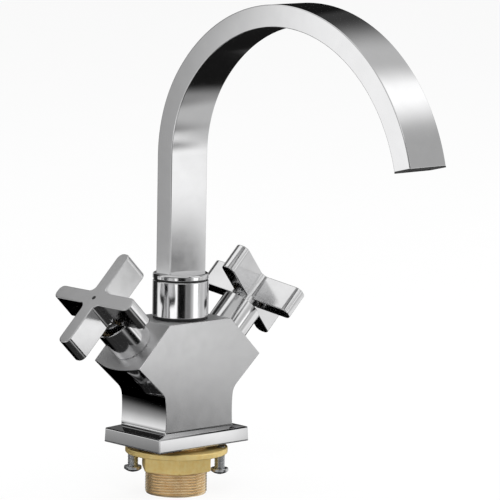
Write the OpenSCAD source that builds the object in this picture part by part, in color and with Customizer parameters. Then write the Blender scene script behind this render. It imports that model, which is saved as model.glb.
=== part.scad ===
// Two handle kitchen faucet with a flat swan neck spout and two cross handles.
// Millimetres. The origin is the centre of the mounting shank at deck level,
// +Z is up and the spout reaches forward along -Y.

/* [Base plate] */
// Width of the base plate, side to side
plate_w = 63; // [60:0.5:70]
// Depth of the base plate, front to back
plate_d = 45; // [44:0.5:54]
// Height of the upright rim of the base plate
plate_rim_h = 7.4; // [7:0.1:9]
// Rise of the bevel from the rim to the neck
plate_bevel_h = 1.5; // [1:0.1:2.5]

/* [Body] */
// Width of the neck where it leaves the base plate
neck_foot_w = 46.8; // [44:0.2:49]
// Width of the neck at the waist
waist_w = 47.6; // [45:0.2:50]
// Depth of the whole body, front to back
body_d = 36.2; // [34:0.2:38]
// Height of the waist above the deck
waist_z = 28.6; // [25:0.2:31]
// Width across the two shoulder points
shoulder_w = 85.4; // [82:0.2:88]
// Height of the shoulder points above the deck
shoulder_z = 45.5; // [43:0.5:49]
// Width of the flat top
top_w = 43; // [41:0.5:46]
// Radius of the hollow at the waist
waist_r = 9; // [5:0.5:11]
// Radius of the small hollow where the neck meets the plate
foot_r = 2.6; // [1.5:0.1:3]
// How far the valve bosses swell below the shoulder edge
boss_swell = 3.1; // [1:0.1:4]

/* [Spout] */
// Width of the flat spout tube
spout_w = 25; // [22:0.5:26]
// Thickness of the flat spout tube
spout_t = 11.5; // [9:0.1:12]
// Wall of the spout tube
spout_wall = 1.3; // [1:0.1:2]
// Distance of the spout axis in front of the shank axis
spout_forward = 1.5; // [0:0.1:3]
// Height at which the upright tube starts to bend
bend_start_z = 153.8; // [130:0.2:180]
// Centre line radius of the first bend
first_bend_r = 71.7; // [60:0.1:80]
// Centre line radius of the long second bend
second_bend_r = 91.8; // [85:0.1:110]
// Total angle through which the tube turns
spout_turn_angle = 166; // [150:0.5:178]
// Length of the outlet insert inside the tube
outlet_len = 9; // [6:0.5:14]
// How far the rim of the outlet insert stands out of the tube
outlet_rim = 0.8; // [0.5:0.1:1.5]
// Wall of the outlet insert and of the bars between its slots
outlet_bar = 1; // [0.8:0.1:1.3]

/* [Spout joint] */
// Outer diameter of the collar nut below the spout
collar_d = 29.8; // [29:0.2:34]
// Height of the collar nut
collar_h = 19.2; // [18:0.2:24]
// Thickness of the black seat ring under the collar nut
seat_ring_h = 1.5; // [1:0.1:2]
// Thickness of the slip ring in the groove over the collar nut
slip_ring_h = 0.8; // [0.6:0.1:1.2]
// Height of the round foot of the spout
foot_ring_h = 3; // [2.6:0.1:5]
// Diameter of the stub of the spout that turns in the body
stub_d = 20; // [18:0.2:20.4]
// Length of that stub below the top of the spigot
stub_len = 26; // [22:0.5:28]
// Outer diameter of the threaded spigot on top of the body
spigot_d = 24.8; // [24.6:0.1:25.4]
// Height of the spigot above the top of the body
spigot_h = 12.3; // [11:0.1:13]
// Water bore of the stub
stub_bore_d = 13; // [10:0.5:14]

/* [Valves] */
// Outer diameter of the bonnet sleeves
sleeve_d = 22.6; // [22:0.2:26]
// Length of the bonnet sleeves
sleeve_len = 18.5; // [17:0.5:20]
// Wall of the bonnet sleeves
sleeve_wall = 1; // [0.8:0.1:1.1]
// Thread diameter of the valve cartridges
cartridge_thread_d = 16.6; // [16:0.1:17.2]
// Diameter of the nose of the valve cartridges
cartridge_nose_d = 14.4; // [14:0.1:15]
// Depth of the valve pockets in the body
pocket_depth = 24; // [23:0.5:25]
// Diameter of the valve spindles
spindle_d = 8; // [7:0.1:8.4]
// Diameter of the ceramic discs
disc_d = 12; // [11:0.1:12.2]
// Thickness of each ceramic disc
disc_h = 2.7; // [2:0.1:3]

/* [Cross handles] */
// Length of an arm from the valve axis to its tip
arm_len = 30; // [25:0.5:33]
// Width of an arm
arm_w = 8.3; // [7:0.1:10]
// Depth of the cross along the valve axis
cross_t = 15.6; // [12:0.1:18]
// Distance from the body face to the underside of the cross
cross_lift = 22; // [21.5:0.1:26]
// Radius of the corners of the arm tips
arm_tip_r = 2.8; // [1:0.1:3.4]
// Radius of the hollows between the arms
arm_root_r = 3.4; // [1:0.1:6]
// Diameter of the hub under the cross
hub_d = 15.4; // [13:0.1:17]
// Angle at which the right cross sits on its spindle
right_cross_angle = 14; // [0:1:45]
// Diameter of the index button in the middle of the cross
button_d = 2.4; // [2:0.1:5]

/* [Shank and fixings] */
// Thread diameter of the mounting shank
shank_d = 33; // [32.6:0.1:33.6]
// Wall of the mounting shank, from its bore to the crests of the thread
shank_wall = 3.3; // [2.5:0.1:3.7]
// Length of the shank below the deck
shank_len = 27.7; // [26:0.1:60]
// Pitch of the shank thread
thread_pitch = 1.5; // [1:0.25:2]
// Reach of the round flange of the nut outside the shank
flange_reach = 10.9; // [10.5:0.1:13.5]
// Thickness of the flange of the nut
flange_h = 3.1; // [2.5:0.1:5]
// Wall of the flange nut at its flats, outside the thread
nut_wall = 1; // [0.8:0.1:1.5]
// Height of the hexagon of the flange nut
nut_hex_h = 9.2; // [7:0.1:10]
// Distance of the flange of the nut below the deck
flange_drop = 2.6; // [2.6:0.1:6]
// Distance of the clamp screws' axes from the thread of the shank
screw_reach = 6.7; // [6.3:0.1:6.9]
// Thread diameter of the clamp screws
screw_d = 5.6; // [4.8:0.1:6]
// Head diameter of the clamp screws
screw_head_d = 9.4; // [8:0.1:10]
// Height of the heads of the clamp screws
screw_head_h = 3.4; // [2.5:0.1:4]
// Free length of the clamp screws between the flange and the head
screw_free_len = 8.3; // [6:0.1:12]
// Diameter of the two threaded water inlets
inlet_d = 9; // [8.4:0.1:9.4]
// Depth of the threaded water inlets
inlet_depth = 12; // [8:0.5:14]

/* [Hidden] */
$fn = 64;

// Overrun of every cut, and the clearances that the pieces share
over = 0.5;
thread_gap = 0.1;
running_gap = 0.08;
face_gap = 0.3;

// Body
body_top_z = shoulder_z + (shoulder_w - top_w) / 2;
plate_top_z = plate_rim_h + plate_bevel_h;
face_x = (shoulder_w + top_w) / 4;
face_z = (shoulder_z + body_top_z) / 2;
boss_inset = 0.8;
shank_seat_h = 7;
shank_bore_d = shank_d - 2 * shank_wall;
gasket_h = 1.6;
gasket_gap = 1.4;
gasket_w = 3.2;
waist_slope = atan((shoulder_z - waist_z) / ((shoulder_w - waist_w) / 2));
waist_lean = atan((waist_w - neck_foot_w) / 2 / (waist_z - plate_top_z));

// Water ways
socket_d = stub_d + 2 * running_gap;
socket_floor_gap = 1.2;
chamber_d = 10;
gallery_d = 6;
gallery_rise = 6.9;
seat_port_d = 6;
feed_way_d = 7;
inlet_edge_gap = 1.2;
inlet_x = (shank_bore_d - inlet_d) / 2 - inlet_edge_gap;
pocket_floor_x = face_x - pocket_depth / sqrt(2);
pocket_floor_z = face_z - pocket_depth / sqrt(2);
gallery_z = pocket_floor_z + gallery_rise;
chamber_floor_z = gallery_z - gallery_d / 2;
seat_port_run = (pocket_floor_x - inlet_x) * sqrt(2);
seat_port_end_z = pocket_floor_z - seat_port_run / sqrt(2);

// Spout joint, from the body top upwards
collar_z = body_top_z + seat_ring_h;
collar_top_z = collar_z + collar_h;
spigot_top_z = body_top_z + spigot_h;
foot_z = collar_top_z + slip_ring_h + running_gap;
foot_top_z = foot_z + foot_ring_h;
foot_edge_r = 1.2;
lip_h = 3.2;
lip_bore_d = 22.4;
thrust_washer_h = 1;
stub_flange_z = spigot_top_z + thrust_washer_h + running_gap;
tube_sink = 1.5;
feed_d = 8.4;
o_ring_wire_d = 1.6;
o_ring_groove_w = 2.6;
o_ring_spacing = 8;
o_ring_low_z = spigot_top_z - stub_len + o_ring_groove_w;
collar_edge_r = 0.6;
seat_ring_inset = 0.3;
slip_ring_inset = 0.6;

// Bends of the spout: they meet where the line through both centres runs 4 for a rise of 3
bend_run_share = 0.8;
bend_rise_share = 0.6;
first_bend_angle = atan2(bend_rise_share, bend_run_share);
second_bend_angle = spout_turn_angle - first_bend_angle;
outlet_gap = 0.1;
outlet_turn = outlet_len / second_bend_r * 180 / PI;
outlet_rim_turn = outlet_rim / second_bend_r * 180 / PI;
outlet_columns = 6;
outlet_rows = 2;

// Valve stack, measured outwards from the sloping face of the body
sleeve_floor = 1.5;
sleeve_edge_r = 0.4;
cartridge_thread_len = 8;
cartridge_flange_d = 20;
cartridge_flange_h = 2;
cartridge_hex_af = 17;
cartridge_hex_h = 5;
cartridge_neck_d = 12.4;
cartridge_neck_h = 3.5;
chamber_wall = 1;
disc_gap = 0.1;
seal_free_h = 3.5;
seal_seat_h = 2.4;
seal_bore_d = 7;
disc_port_d = 3;
disc_port_offset = 3.6;
tab_w = 3;
tab_sink = 0.9;
window_d = 3.2;
spindle_flange_h = 1.2;
spindle_flat = 0.5;
spindle_wire_d = 1;
clip_h = 0.9;
clip_wall = 2.2;
clip_groove = 0.6;
clip_opening = 3;
cartridge_wire_d = 1.3;
chamfer_h = 1.4;
hex_z = sleeve_floor + cartridge_flange_h;
neck_z = hex_z + cartridge_hex_h;
neck_top_z = neck_z + cartridge_neck_h;
clip_z = neck_top_z + running_gap;
hub_z = clip_z + clip_h + face_gap;
fixed_disc_z = -pocket_depth + seal_free_h + seal_seat_h;
moving_disc_z = fixed_disc_z + disc_h;
tab_z = moving_disc_z + disc_h - tab_sink;
thread_z = -cartridge_thread_len;
nose_z = -pocket_depth + seal_free_h;
spindle_flange_z = thread_z - spindle_flange_h - disc_gap;
spindle_ring_z = hex_z;
handle_bore_depth = 17;
grub_d = 3;
grub_len = hub_d / 2 - spindle_d / 2;
grub_z = cross_lift - grub_d / 2 - thread_gap;
grub_socket_af = 1.5;
button_h = 1.4;

// The left cross stands square on its spindle and the right one as it was left
function cross_angle(side) = side > 0 ? right_cross_angle : 0;

// Shank and fixings
thread_depth = 0.9;
thread_crest_share = 0.2;
nut_bore_d = shank_d + 2 * thread_gap;
nut_af = shank_d + 2 * nut_wall;
flange_d = shank_d + 2 * flange_reach;
screw_circle_r = shank_d / 2 + screw_reach;
nut_chamfer = 0.8;
nut_angle = -6;
screw_drive_w = 1.2;
screw_drive_len = 6;
screw_drive_depth = 1.6;
screw_circle_angle = -45;
screw_dome_share = 0.75;
screw_tip_z = face_gap - flange_drop;

chrome = [0.75, 0.76, 0.78];
brass = [0.83, 0.66, 0.3];
bronze = [0.66, 0.5, 0.24];
zinc = [0.62, 0.64, 0.66];
black = [0.08, 0.08, 0.09];
ceramic = [0.93, 0.92, 0.88];
nylon = [0.86, 0.86, 0.82];

// Shared shapes

module ring(outer_d, inner_d, h) {
    difference() {
        cylinder(h = h, d = outer_d);
        translate([0, 0, -over])
            cylinder(h = h + 2 * over, d = inner_d);
    }
}

module o_ring(centre_r, wire_d) {
    rotate_extrude()
        translate([centre_r, 0])
            circle(d = wire_d);
}

module rounded_rect(size_x, size_y, r) {
    square([size_x - 2 * r, size_y], center = true);
    square([size_x, size_y - 2 * r], center = true);
    for (sx = [-1, 1], sy = [-1, 1])
        translate([sx * (size_x / 2 - r), sy * (size_y / 2 - r)])
            circle(r = r);
}

module hexagon(af, h) {
    cylinder(h = h, d = af / cos(30), $fn = 6);
}

// Places a piece on the axis about which the spout turns
module on_spout_axis(z) {
    translate([0, -spout_forward, z])
        children();
}

// Stands a valve piece on the sloping face of one side, -1 left and +1 right
module at_valve(side) {
    translate([side * face_x, 0, face_z])
        rotate([0, side * 45, 0])
            children();
}

// Body casting

// Outline of the body seen from the front, with a web in the hollow of each corner
module body_outline() {
    right_side = [
        [neck_foot_w / 2, 0],
        [neck_foot_w / 2, plate_top_z],
        [waist_w / 2, waist_z],
        [shoulder_w / 2, shoulder_z],
        [top_w / 2, body_top_z]
    ];
    left_side = [for (i = [len(right_side) - 1 : -1 : 0]) [-right_side[i][0], right_side[i][1]]];
    polygon(concat(right_side, left_side));
    for (side = [0, 1])
        mirror([side, 0]) {
            waist_fillet();
            foot_fillet();
        }
}

// Web that rounds the waist: the corner between neck and slope, less a circle that touches both
module waist_fillet() {
    turn = 90 - waist_slope - waist_lean;
    reach = waist_r * tan(turn / 2);
    lean = [sin(waist_lean), cos(waist_lean)];
    rise = [cos(waist_slope), sin(waist_slope)];
    corner = [waist_w / 2, waist_z];
    low = corner - reach * lean;
    high = corner + reach * rise;
    centre = low + waist_r * [cos(waist_lean), -sin(waist_lean)];
    sunk = corner - waist_r * [cos(waist_lean), 0];
    difference() {
        polygon([sunk, low, centre, high]);
        translate(centre)
            circle(r = waist_r);
    }
}

// Small hollow where the side of the neck runs out onto the plate
module foot_fillet() {
    difference() {
        translate([neck_foot_w / 2 - foot_r, plate_top_z - plate_bevel_h])
            square([2 * foot_r, foot_r + plate_bevel_h]);
        translate([neck_foot_w / 2 + foot_r, plate_top_z + foot_r])
            circle(r = foot_r);
    }
}

module body_block() {
    rotate([90, 0, 0])
        linear_extrude(height = body_d, center = true)
            body_outline();
}

// Rim and bevel of the base plate, as two crossed profiles
module plate_block() {
    module profile(width, inner) {
        polygon([
            [-width / 2, 0], [width / 2, 0],
            [width / 2, plate_rim_h], [inner / 2, plate_top_z],
            [-inner / 2, plate_top_z], [-width / 2, plate_rim_h]
        ]);
    }
    intersection() {
        rotate([90, 0, 0])
            linear_extrude(height = plate_d, center = true)
                profile(plate_w, neck_foot_w);
        rotate([90, 0, 90])
            linear_extrude(height = plate_w, center = true)
                profile(plate_d, body_d);
    }
}

// Swollen underside of one valve boss: a large cylinder that leaves the waist and stands
// out by the swell where it ends at the sloping face
module boss(side) {
    half_chord = body_d / 2 - boss_inset;
    swell_r = (half_chord * half_chord + boss_swell * boss_swell) / (2 * boss_swell);
    edge_x = shoulder_w / 2 + boss_swell / sqrt(2);
    edge_z = shoulder_z - boss_swell / sqrt(2);
    run = [edge_x - waist_w / 2, edge_z - waist_z];
    tilt = atan2(run[0], run[1]);
    reach = norm(run) + boss_swell;
    intersection() {
        translate([side * waist_w / 2, 0, waist_z])
            rotate([0, side * tilt, 0])
                translate([-side * swell_r, 0, 0])
                    cylinder(h = reach, r = swell_r, $fn = 128);
        at_valve(side)
            translate([-shoulder_w / 2, -half_chord, -pocket_depth - waist_r])
                cube([shoulder_w, 2 * half_chord, pocket_depth + waist_r]);
        translate([-shoulder_w, -body_d, waist_z])
            cube([2 * shoulder_w, 2 * body_d, body_top_z - waist_z]);
    }
}

module valve_pocket(side) {
    at_valve(side) {
        translate([0, 0, -pocket_depth])
            cylinder(h = pocket_depth + over, d = cartridge_thread_d + 2 * thread_gap);
        translate([0, 0, -chamfer_h])
            cylinder(h = chamfer_h + over, d = cartridge_thread_d + 2 * cartridge_wire_d);
        translate([0, 0, -pocket_depth - seat_port_run])
            cylinder(h = seat_port_run + over, d = seat_port_d);
    }
}

module inlet_way(side) {
    translate([side * inlet_x, 0, shank_seat_h - over])
        cylinder(h = inlet_depth + over, d = inlet_d);
    translate([side * inlet_x, 0, shank_seat_h])
        cylinder(h = seat_port_end_z - shank_seat_h, d = feed_way_d);
}

module body_casting() {
    color(chrome)
        difference() {
            union() {
                body_block();
                plate_block();
                for (side = [-1, 1])
                    boss(side);
                on_spout_axis(body_top_z - over)
                    cylinder(h = spigot_h + over, d = spigot_d);
            }
            for (side = [-1, 1]) {
                valve_pocket(side);
                inlet_way(side);
            }
            on_spout_axis(spigot_top_z - stub_len - socket_floor_gap)
                cylinder(h = stub_len + socket_floor_gap + over, d = socket_d);
            on_spout_axis(chamber_floor_z)
                cylinder(h = spigot_top_z - stub_len - chamber_floor_z, d = chamber_d);
            translate([-pocket_floor_x, 0, gallery_z])
                rotate([0, 90, 0])
                    cylinder(h = 2 * pocket_floor_x, d = gallery_d);
            translate([0, 0, -over])
                cylinder(h = shank_seat_h + over, d = shank_d + thread_gap);
            translate([0, 0, -over])
                ring(
                    shank_d + 2 * (gasket_gap + gasket_w + thread_gap),
                    shank_d + 2 * (gasket_gap - thread_gap),
                    gasket_h + over
                );
        }
}

module base_gasket() {
    color(black)
        ring(shank_d + 2 * (gasket_gap + gasket_w), shank_d + 2 * gasket_gap, gasket_h);
}

// Shank and fixings

module mounting_shank() {
    thread_len = shank_len - thread_pitch;
    turns = floor(thread_len / thread_pitch);
    crest = thread_pitch * thread_crest_share;
    root_r = shank_d / 2 - thread_depth;
    ridges = [
        for (i = [0 : turns - 1], p = [
            [root_r, 0],
            [shank_d / 2, (thread_pitch - crest) / 2],
            [shank_d / 2, (thread_pitch + crest) / 2]
        ]) [p[0], -shank_len + i * thread_pitch + p[1]]
    ];
    color(bronze)
        rotate_extrude()
            polygon(concat(
                [[shank_bore_d / 2, -shank_len]],
                ridges,
                [
                    [root_r, -shank_len + turns * thread_pitch],
                    [shank_d / 2, -shank_len + turns * thread_pitch + thread_depth],
                    [shank_d / 2, shank_seat_h],
                    [shank_bore_d / 2, shank_seat_h]
                ]
            ));
}

module at_screw(side) {
    translate([
        side * screw_circle_r * cos(screw_circle_angle),
        side * screw_circle_r * sin(screw_circle_angle),
        0
    ])
        children();
}

module flange_nut() {
    flange_z = -flange_drop - flange_h;
    color(brass)
        difference() {
            union() {
                translate([0, 0, flange_z])
                    cylinder(h = flange_h, d = flange_d);
                translate([0, 0, flange_z - nut_hex_h])
                    rotate([0, 0, nut_angle])
                        intersection() {
                            hexagon(nut_af, nut_hex_h + over);
                            cylinder(
                                h = nut_hex_h + over,
                                d1 = nut_af / cos(30) - 2 * nut_chamfer,
                                d2 = nut_af / cos(30) + 2 * (nut_hex_h + over) - 2 * nut_chamfer
                            );
                        }
            }
            translate([0, 0, flange_z - nut_hex_h - over])
                cylinder(h = flange_h + nut_hex_h + 2 * over, d = nut_bore_d);
            for (side = [-1, 1])
                at_screw(side)
                    translate([0, 0, flange_z - over])
                        cylinder(h = flange_h + 2 * over, d = screw_d + 2 * running_gap);
        }
}

// Pan head screw with a cross recess, head down
module clamp_screw(side) {
    head_top_z = -flange_drop - flange_h - screw_free_len;
    head_floor_z = head_top_z - screw_head_h;
    dome_r = screw_head_d * screw_dome_share;
    color(zinc)
        at_screw(side)
            difference() {
                union() {
                    translate([0, 0, head_top_z])
                        cylinder(h = screw_tip_z - head_top_z, d = screw_d);
                    intersection() {
                        translate([0, 0, head_floor_z])
                            cylinder(h = screw_head_h, d = screw_head_d);
                        translate([0, 0, head_floor_z + dome_r])
                            sphere(r = dome_r);
                    }
                }
                for (turn = [0, 90])
                    rotate([0, 0, turn])
                        translate([-screw_drive_len / 2, -screw_drive_w / 2, head_floor_z - over])
                            cube([screw_drive_len, screw_drive_w, screw_drive_depth + over]);
            }
}

module left_clamp_screw() clamp_screw(-1);
module right_clamp_screw() clamp_screw(1);

// Spout joint

module collar_nut() {
    color(chrome)
        on_spout_axis(collar_z)
            difference() {
                rotate_extrude() {
                    square([collar_d / 2 - collar_edge_r, collar_h]);
                    square([collar_d / 2, collar_h - collar_edge_r]);
                    translate([collar_d / 2 - collar_edge_r, collar_h - collar_edge_r])
                        circle(r = collar_edge_r);
                }
                translate([0, 0, -over])
                    cylinder(h = collar_h - lip_h + over, d = spigot_d + 2 * thread_gap);
                translate([0, 0, -over])
                    cylinder(h = collar_h + 2 * over, d = lip_bore_d);
            }
}

module collar_seat_ring() {
    color(black)
        on_spout_axis(body_top_z)
            ring(collar_d - 2 * seat_ring_inset, spigot_d + 2 * thread_gap, seat_ring_h);
}

module slip_ring() {
    color(black)
        on_spout_axis(collar_top_z)
            ring(collar_d - 2 * slip_ring_inset, lip_bore_d, slip_ring_h);
}

module thrust_washer() {
    color(nylon)
        on_spout_axis(spigot_top_z)
            ring(spigot_d - 2 * thread_gap, socket_d, thrust_washer_h);
}

module spout_foot() {
    stub_r = stub_d / 2;
    groove_d = stub_d - 2 * o_ring_wire_d + 2 * running_gap;
    flange_r = spigot_d / 2 - running_gap;
    flange_top_z = collar_top_z - lip_h - face_gap;
    color(chrome)
        on_spout_axis(0)
            difference() {
                union() {
                    translate([0, 0, spigot_top_z - stub_len])
                        cylinder(h = foot_z - spigot_top_z + stub_len + over, r = stub_r);
                    translate([0, 0, stub_flange_z])
                        cylinder(h = flange_top_z - stub_flange_z, r = flange_r);
                    translate([0, 0, flange_top_z - over])
                        cylinder(h = foot_z - flange_top_z + 2 * over, d = lip_bore_d - 2 * running_gap);
                    translate([0, 0, foot_z])
                        rotate_extrude() {
                            square([collar_d / 2 - foot_edge_r, foot_ring_h]);
                            square([collar_d / 2, foot_ring_h - foot_edge_r]);
                            translate([collar_d / 2 - foot_edge_r, foot_ring_h - foot_edge_r])
                                circle(r = foot_edge_r);
                        }
                }
                translate([0, 0, spigot_top_z - stub_len - over])
                    cylinder(h = foot_z - spigot_top_z + stub_len - over, d = stub_bore_d);
                translate([0, 0, foot_z - 2 * over])
                    cylinder(h = foot_ring_h + 3 * over, d = feed_d);
                translate([0, 0, foot_top_z - tube_sink])
                    linear_extrude(height = tube_sink + over)
                        square([spout_w, spout_t], center = true);
                for (i = [0, 1])
                    translate([0, 0, o_ring_low_z + i * o_ring_spacing - o_ring_groove_w / 2])
                        ring(stub_d + 2 * over, groove_d, o_ring_groove_w);
            }
}

module spout_o_rings() {
    color(black)
        on_spout_axis(o_ring_low_z)
            for (i = [0, 1])
                translate([0, 0, i * o_ring_spacing])
                    o_ring((stub_d - o_ring_wire_d + running_gap) / 2, o_ring_wire_d - 2 * running_gap);
}

// Spout

// Moves to the centre of the first bend, with the spout bending about the local z axis
module at_first_bend() {
    translate([0, -first_bend_r - spout_forward, bend_start_z])
        rotate([90, 0, 90])
            children();
}

// Moves on to the centre of the second bend, with its angle zero where the two bends meet
module at_second_bend() {
    at_first_bend()
        rotate([0, 0, first_bend_angle])
            translate([first_bend_r - second_bend_r, 0, 0])
                children();
}

// Sweeps a flat section through part of the second bend
module second_bend(from_angle, to_angle) {
    at_second_bend()
        rotate_extrude(angle = to_angle - from_angle, start = from_angle)
            translate([second_bend_r, 0])
                children();
}

module tube_section(inset) {
    square([spout_t - 2 * inset, spout_w - 2 * inset], center = true);
}

// The first bend: a quarter turn, cut off where the second bend takes over
module first_bend(inset) {
    reach = first_bend_r + spout_t;
    at_first_bend()
        intersection() {
            rotate_extrude(angle = 90)
                translate([first_bend_r, 0])
                    tube_section(inset);
            rotate([0, 0, first_bend_angle])
                translate([0, -reach, -spout_w])
                    cube([reach, reach, 2 * spout_w]);
        }
}

// The spout's path filled with a section that is inset from the outer wall
module spout_path(inset, overrun) {
    on_spout_axis(foot_top_z - tube_sink - overrun)
        linear_extrude(height = bend_start_z - foot_top_z + tube_sink + overrun)
            rotate([0, 0, 90])
                tube_section(inset);
    first_bend(inset);
    second_bend(0, second_bend_angle + overrun / second_bend_r * 180 / PI)
        tube_section(inset);
}

module spout_tube() {
    color(chrome)
        difference() {
            spout_path(0, 0);
            spout_path(spout_wall, over);
        }
}

// Black insert that straightens the water, with a thin rim over the end of the tube
module outlet_insert() {
    inner_t = spout_t - 2 * (spout_wall + outlet_gap);
    inner_w = spout_w - 2 * (spout_wall + outlet_gap);
    slot_t = (inner_t - (outlet_rows + 1) * outlet_bar) / outlet_rows;
    slot_w = (inner_w - (outlet_columns + 1) * outlet_bar) / outlet_columns;
    slot_over_turn = over / second_bend_r * 180 / PI;
    color(black)
        difference() {
            union() {
                second_bend(second_bend_angle - outlet_turn, second_bend_angle + outlet_rim_turn)
                    square([inner_t, inner_w], center = true);
                second_bend(second_bend_angle, second_bend_angle + outlet_rim_turn)
                    tube_section(outlet_gap);
            }
            second_bend(
                second_bend_angle - outlet_turn - slot_over_turn,
                second_bend_angle + outlet_rim_turn + slot_over_turn
            )
                for (i = [0 : outlet_rows - 1], k = [0 : outlet_columns - 1])
                    translate([
                        -inner_t / 2 + outlet_bar + i * (slot_t + outlet_bar),
                        -inner_w / 2 + outlet_bar + k * (slot_w + outlet_bar)
                    ])
                        square([slot_t, slot_w]);
        }
}

// Valves, each piece drawn along its own axis with z zero on the body face

module sleeve(side) {
    color(chrome)
        at_valve(side)
            difference() {
                rotate_extrude() {
                    square([sleeve_d / 2 - sleeve_edge_r, sleeve_len]);
                    square([sleeve_d / 2, sleeve_len - sleeve_edge_r]);
                    translate([sleeve_d / 2 - sleeve_edge_r, sleeve_len - sleeve_edge_r])
                        circle(r = sleeve_edge_r);
                }
                translate([0, 0, sleeve_floor])
                    cylinder(h = sleeve_len, d = sleeve_d - 2 * sleeve_wall);
                translate([0, 0, -over])
                    cylinder(h = sleeve_floor + 2 * over, d = cartridge_thread_d + 2 * thread_gap);
            }
}

module cartridge(side) {
    inner_d = cartridge_nose_d - 2 * chamber_wall;
    color(brass)
        at_valve(side)
            difference() {
                union() {
                    translate([0, 0, nose_z])
                        cylinder(h = thread_z - nose_z + over, d = cartridge_nose_d);
                    translate([0, 0, thread_z])
                        cylinder(h = sleeve_floor - thread_z + over, d = cartridge_thread_d);
                    translate([0, 0, sleeve_floor])
                        cylinder(h = cartridge_flange_h, d = cartridge_flange_d);
                    translate([0, 0, hex_z])
                        hexagon(cartridge_hex_af, cartridge_hex_h);
                    translate([0, 0, neck_z])
                        cylinder(h = cartridge_neck_h, d = cartridge_neck_d);
                }
                translate([0, 0, nose_z - over])
                    cylinder(h = thread_z - nose_z + over, d = inner_d);
                translate([0, 0, nose_z])
                    cylinder(h = neck_top_z - nose_z + over, d = spindle_d + 2 * running_gap);
                translate([-cartridge_nose_d, 0, moving_disc_z + disc_h + window_d / 2 + disc_gap])
                    rotate([0, 90, 0])
                        cylinder(h = 2 * cartridge_nose_d, d = window_d);
                translate([0, 0, -cartridge_wire_d])
                    ring(cartridge_thread_d + over, cartridge_thread_d - cartridge_wire_d, cartridge_wire_d);
            }
}

module cartridge_o_ring(side) {
    color(black)
        at_valve(side)
            translate([0, 0, -cartridge_wire_d / 2])
                o_ring(cartridge_thread_d / 2 + running_gap / 2, cartridge_wire_d - 2 * running_gap);
}

module seat_seal(side) {
    color(black)
        at_valve(side)
            translate([0, 0, -pocket_depth])
                ring(disc_d, seal_bore_d, fixed_disc_z + pocket_depth);
}

module disc_ports() {
    for (turn = [0, 180])
        rotate([0, 0, turn])
            translate([disc_port_offset, 0, -over])
                cylinder(h = disc_h + 2 * over, d = disc_port_d);
}

module fixed_disc(side) {
    color(ceramic)
        at_valve(side)
            translate([0, 0, fixed_disc_z])
                difference() {
                    cylinder(h = disc_h, d = disc_d);
                    disc_ports();
                }
}

// Moving disc, closed at rest: its ports stand a quarter turn from those of the fixed disc
module moving_disc(side) {
    color(ceramic)
        at_valve(side)
            translate([0, 0, moving_disc_z])
                rotate([0, 0, 90])
                    difference() {
                        cylinder(h = disc_h, d = disc_d);
                        disc_ports();
                        translate([-tab_w / 2 - running_gap, -disc_d, disc_h - tab_sink])
                            cube([tab_w + 2 * running_gap, 2 * disc_d, tab_sink + over]);
                    }
}

module spindle(side) {
    flange_d = cartridge_nose_d - 2 * chamber_wall - 2 * face_gap;
    spindle_top_z = hub_z + handle_bore_depth - face_gap;
    color(brass)
        at_valve(side)
            rotate([0, 0, cross_angle(side)])
                difference() {
                    union() {
                        translate([0, 0, spindle_flange_z])
                            cylinder(h = spindle_top_z - spindle_flange_z, d = spindle_d);
                        translate([0, 0, spindle_flange_z])
                            cylinder(h = spindle_flange_h, d = flange_d);
                        rotate([0, 0, -cross_angle(side)])
                            translate([-flange_d / 2 + face_gap, -tab_w / 2, tab_z + disc_gap])
                                cube([flange_d - 2 * face_gap, tab_w, spindle_flange_z - tab_z]);
                    }
                    translate([0, 0, spindle_ring_z - spindle_wire_d / 2 - running_gap])
                        ring(spindle_d + over, spindle_d - 2 * spindle_wire_d, spindle_wire_d + 2 * running_gap);
                    translate([0, 0, clip_z])
                        ring(spindle_d + over, spindle_d - 2 * clip_groove, clip_h);
                    translate([-spindle_d / 2 - over, -spindle_d / 2, grub_z - grub_d])
                        cube([spindle_flat + over, spindle_d, 2 * grub_d]);
                }
}

module spindle_o_ring(side) {
    color(black)
        at_valve(side)
            translate([0, 0, spindle_ring_z])
                o_ring(spindle_d / 2 - spindle_wire_d / 2, spindle_wire_d - running_gap);
}

module spindle_clip(side) {
    color(zinc)
        at_valve(side)
            translate([0, 0, clip_z])
                difference() {
                    ring(
                        spindle_d - 2 * clip_groove + 2 * running_gap + 2 * clip_wall,
                        spindle_d - 2 * clip_groove + 2 * running_gap,
                        clip_h - running_gap
                    );
                    translate([0, -clip_opening / 2, -over])
                        cube([spindle_d, clip_opening, clip_h + 2 * over]);
                }
}

// Cross handles

// Outline of the cross: two crossed bars with round tips and hollow corners
module cross_outline() {
    half = arm_w / 2;
    for (turn = [0, 90])
        rotate([0, 0, turn])
            rounded_rect(2 * arm_len, arm_w, arm_tip_r);
    for (turn = [0 : 90 : 270])
        rotate([0, 0, turn])
            translate([half - over, half - over])
                difference() {
                    square([arm_root_r + over, arm_root_r + over]);
                    translate([arm_root_r + over, arm_root_r + over])
                        circle(r = arm_root_r);
                }
}

module cross_handle(side) {
    color(chrome)
        at_valve(side)
            rotate([0, 0, cross_angle(side)])
                difference() {
                    union() {
                        translate([0, 0, cross_lift])
                            linear_extrude(height = cross_t)
                                cross_outline();
                        translate([0, 0, hub_z])
                            cylinder(h = cross_lift - hub_z + over, d = hub_d);
                    }
                    translate([0, 0, hub_z - over])
                        cylinder(h = handle_bore_depth + over, d = spindle_d + 2 * running_gap);
                    translate([0, 0, grub_z])
                        rotate([0, -90, 0])
                            cylinder(h = hub_d, d = grub_d + 2 * thread_gap);
                    translate([0, 0, cross_lift + cross_t - button_h])
                        cylinder(h = button_h + over, d = button_d);
                }
}

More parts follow.
